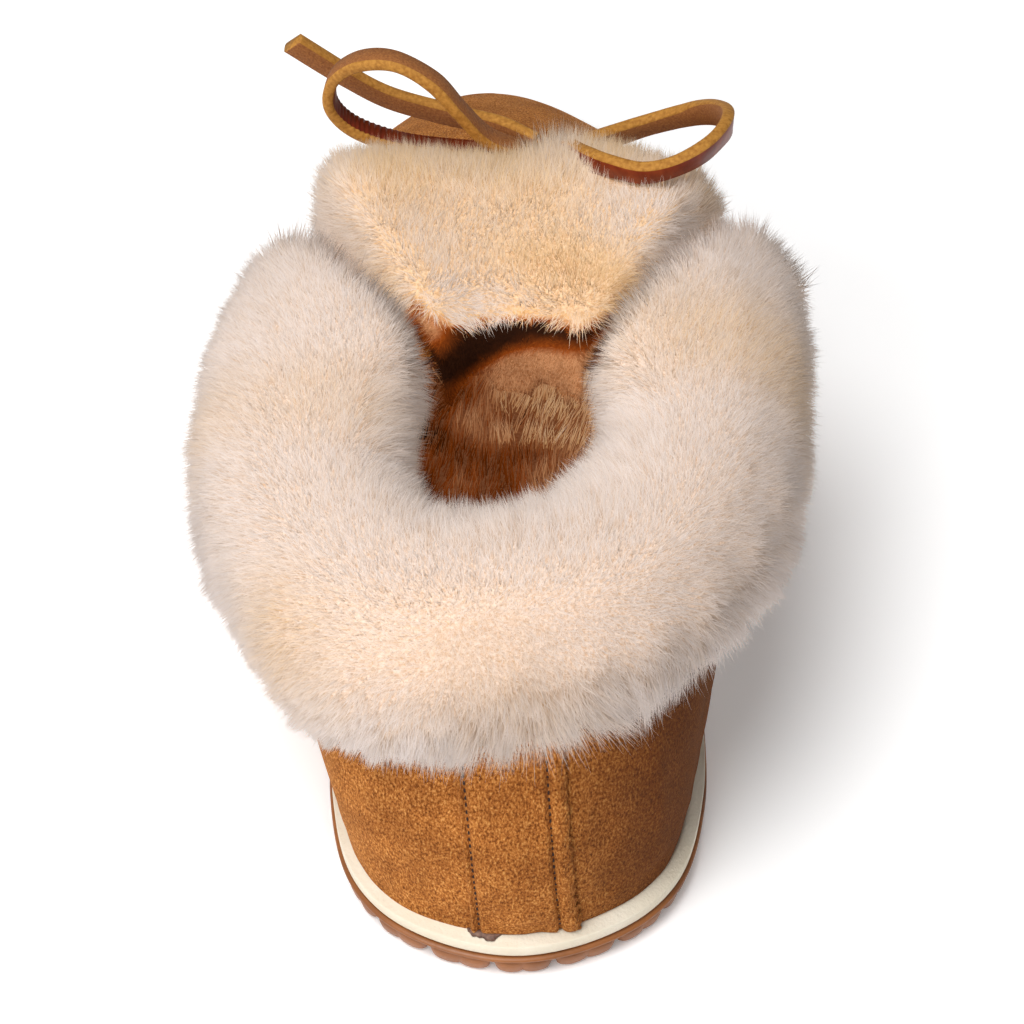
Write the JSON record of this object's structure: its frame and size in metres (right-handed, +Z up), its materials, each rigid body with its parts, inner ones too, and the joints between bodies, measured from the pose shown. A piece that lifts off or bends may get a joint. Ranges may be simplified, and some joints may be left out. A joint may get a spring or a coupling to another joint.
{
  "type": "sheepskin slipper",
  "caption": "Right-foot sheepskin slipper with a suede upper, turned-down shearling cuff and tongue, a leather lace bow, foam midsole and lugged gum rubber outsole.",
  "frame": {"origin": "on the floor, under the middle of the slipper's box without the lace", "axes": "+Y from heel to toe, +X to the outer side of the right foot, +Z up"},
  "size_m": [0.132, 0.2778, 0.1099],
  "materials": {
    "gum_rubber": "moulded satin",
    "midsole_foam": "moulded matt",
    "insole_wool": "sheared wool",
    "suede": "napped suede",
    "cuff_wool": "combed wool",
    "tongue_wool": "combed wool",
    "lace_leather": "cut rawhide"
  },
  "bodies": {
    "root": {"outsole": "gum_rubber", "midsole": "midsole_foam", "insole": "insole_wool", "upper": "suede", "heel_strip": "suede", "cuff": "cuff_wool", "tongue": "tongue_wool", "lace_knot": "lace_leather", "lace_loop_left": "lace_leather", "lace_loop_right": "lace_leather", "lace_end_left": "lace_leather", "lace_end_right": "lace_leather"}
  },
  "joints": []
}
